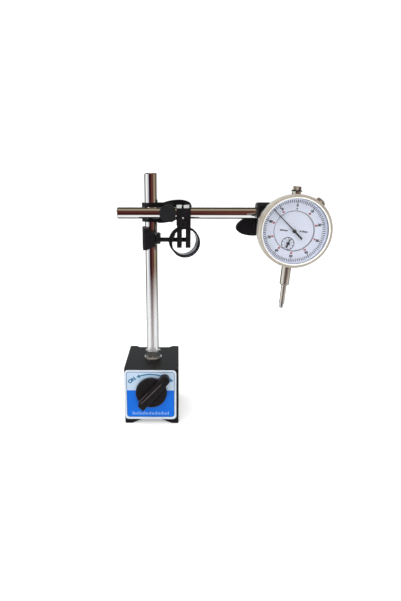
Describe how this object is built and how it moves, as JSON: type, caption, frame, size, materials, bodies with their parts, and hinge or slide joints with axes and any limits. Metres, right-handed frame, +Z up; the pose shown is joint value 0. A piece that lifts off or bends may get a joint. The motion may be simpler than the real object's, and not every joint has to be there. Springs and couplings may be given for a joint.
{
  "type": "dial indicator on magnetic base",
  "caption": "Plunger dial gauge on an arm and column with clamps and a spring fine adjuster, standing on a switchable magnetic base block.",
  "frame": {"origin": "centre of the base's underside, under the column's axis, in the plane that the feet stand on", "axes": "+Z up the column, +X along the arm towards the gauge, -Y towards the user, who faces the switch knob and the dial"},
  "size_m": [0.1764, 0.0863, 0.2315],
  "materials": {
    "base_paint": "satin black paint",
    "brass_plate": "milled",
    "bolt_steel": "turned",
    "bearing_aluminium": "turned",
    "label_print": "printed sheet, satin",
    "knob_plastic": "moulded",
    "magnet_ferrite": "sintered",
    "rotor_steel": "turned",
    "rod_chrome": "polished plating",
    "clamp_black": "black oxide, satin",
    "wing_plastic": "moulded",
    "spring_steel": "polished inside, blackened edge",
    "case_nickel": "satin nickel plating",
    "movement_brass": "fine brushed",
    "movement_steel": "polished",
    "dial_print": "printed white enamel",
    "hand_black": "blackened",
    "crystal_glass": "clear",
    "black_rubber": "moulded"
  },
  "bodies": {
    "base": {"base_pole_left": "base_paint", "base_separator": "brass_plate", "base_pole_right": "base_paint", "base_tie_bolts": "bolt_steel", "front_bearing_plate": "bearing_aluminium", "rear_cover": "bearing_aluminium", "front_label_plate": "label_print", "column_washer": "rod_chrome", "column_lock_nut": "rod_chrome"},
    "magnet_switch": {"rotor_magnet": "magnet_ferrite", "rotor_pole_shoes": "rotor_steel", "rotor_shaft": "bolt_steel", "switch_knob": "knob_plastic", "knob_grub_screw": "clamp_black"},
    "column": {"column_rod": "rod_chrome"},
    "column_clamp": {"upper_column_strap": "clamp_black", "eye_washer": "clamp_black", "lower_column_clamp": "clamp_black"},
    "fine_adjuster": {"fine_screw": "clamp_black"},
    "tilt_head": {"eye_stud": "clamp_black", "fork_strap": "clamp_black", "fork_clamp_screw": "clamp_black", "fork_clamp_nut": "clamp_black", "trunnion_block": "clamp_black", "spring_ring": "spring_steel"},
    "rear_knob": {"rear_wing_knob": "wing_plastic"},
    "arm": {"arm_rod": "rod_chrome"},
    "gauge_clamp": {"gauge_clamp_strap": "clamp_black", "clamp_bolt": "clamp_black", "clamp_washer": "bolt_steel"},
    "gauge_knob": {"gauge_wing_knob": "wing_plastic"},
    "link": {"gauge_link": "clamp_black", "lug_screw": "bolt_steel"},
    "gauge": {"gauge_case": "case_nickel", "back_cover": "case_nickel", "back_cover_screws": "movement_steel", "stem": "case_nickel", "upper_bushing": "case_nickel", "movement_back_plate": "movement_brass", "centre_bridge": "movement_brass", "movement_front_plate": "movement_brass", "movement_pillars": "movement_brass", "inner_dial": "dial_print", "hairspring": "movement_steel", "return_spring": "movement_steel"},
    "bezel": {"bezel_ring": "case_nickel", "dial_scale_ring": "dial_print", "crystal_spacer": "dial_print", "crystal": "crystal_glass"},
    "bezel_lock": {"bezel_clamp_screw": "case_nickel"},
    "plunger": {"spindle": "movement_steel", "spindle_guide_pin": "movement_steel", "contact_point": "movement_steel", "cap_cushion": "black_rubber", "lifting_cap": "case_nickel"},
    "counter": {"counter_arbor": "movement_brass", "counter_hand": "hand_black"},
    "pointer": {"centre_pinion": "movement_steel", "pointer_hand": "hand_black"},
    "take_up": {"hairspring_gear": "movement_brass"}
  },
  "joints": [
    {"name": "switch_turn", "type": "hinge", "parent": "base", "child": "magnet_switch", "pos_m": [0, 0, 0.033], "axis": [0.0209, -0.9998, 0], "range_deg": [0, 90]},
    {"name": "column_turn", "type": "hinge", "parent": "base", "child": "column", "pos_m": [0, 0, 0.1], "axis": [0, 0, 1], "continuous": true},
    {"name": "clamp_height", "type": "slide", "parent": "column", "child": "column_clamp", "axis": [0, 0, 1], "range_m": [-0.075, 0.02]},
    {"name": "arm_tilt", "type": "hinge", "parent": "column_clamp", "child": "tilt_head", "pos_m": [0.016, 0, 0.1971], "axis": [0, 1, 0], "range_deg": [-2.9, 2.9]},
    {"name": "fine_turn", "type": "hinge", "parent": "column_clamp", "child": "fine_adjuster", "pos_m": [0.01, -0.015, 0.1736], "axis": [1, 0, 0], "range_deg": [-530, 530]},
    {"name": "rear_knob_turn", "type": "hinge", "parent": "tilt_head", "child": "rear_knob", "pos_m": [0.016, 0.012, 0.1971], "axis": [0, 1, 0], "range_deg": [0, 180]},
    {"name": "arm_slide", "type": "slide", "parent": "tilt_head", "child": "arm", "axis": [1, 0, 0], "range_m": [-0.04, 0.035]},
    {"name": "gauge_clamp_turn", "type": "hinge", "parent": "arm", "child": "gauge_clamp", "pos_m": [0.1, -0.015, 0.1971], "axis": [1, 0, 0], "continuous": true},
    {"name": "gauge_knob_turn", "type": "hinge", "parent": "gauge_clamp", "child": "gauge_knob", "pos_m": [0.09925, -0.002, 0.18618], "axis": [0, 1, 0], "range_deg": [0, 180]},
    {"name": "link_swing", "type": "hinge", "parent": "gauge_clamp", "child": "link", "pos_m": [0.09925, -0.0245, 0.18618], "axis": [0, -1, 0], "range_deg": [-90, 40]},
    {"name": "gauge_tilt", "type": "hinge", "parent": "link", "child": "gauge", "pos_m": [0.1185, -0.0264, 0.1848], "axis": [0.9974, 0, -0.0715], "range_deg": [-25, 25]},
    {"name": "bezel_turn", "type": "hinge", "parent": "gauge", "child": "bezel", "pos_m": [0.1185, -0.05, 0.1848], "axis": [0, -1, 0], "continuous": true},
    {"name": "bezel_lock_turn", "type": "hinge", "parent": "gauge", "child": "bezel_lock", "pos_m": [0.13938, -0.041, 0.20634], "axis": [0.6959, 0, 0.7181], "range_deg": [0, 360]},
    {"name": "spindle_travel", "type": "slide", "parent": "gauge", "child": "plunger", "axis": [0.0715, 0, 0.9974], "range_m": [0, 0.01], "stiffness_N_per_m": 60, "springref_m": -0.008, "deforming": ["return_spring"]},
    {"name": "pointer_turn", "type": "hinge", "parent": "gauge", "child": "pointer", "pos_m": [0.1185, -0.047, 0.1848], "axis": [0, -1, 0], "range_deg": [-3602, 0]},
    {"name": "counter_turn", "type": "hinge", "parent": "gauge", "child": "counter", "pos_m": [0.11427, -0.045, 0.17471], "axis": [0, -1, 0], "range_deg": [0, 361]},
    {"name": "take_up_turn", "type": "hinge", "parent": "gauge", "child": "take_up", "pos_m": [0.12273, -0.045, 0.19489], "axis": [0, -1, 0], "range_deg": [0, 361]}
  ],
  "couplings": [
    {"joint": "pointer_turn", "follows": "spindle_travel", "rad_per_m": -6283.2},
    {"joint": "counter_turn", "follows": "spindle_travel", "rad_per_m": 628.32},
    {"joint": "take_up_turn", "follows": "spindle_travel", "rad_per_m": 628.32}
  ]
}
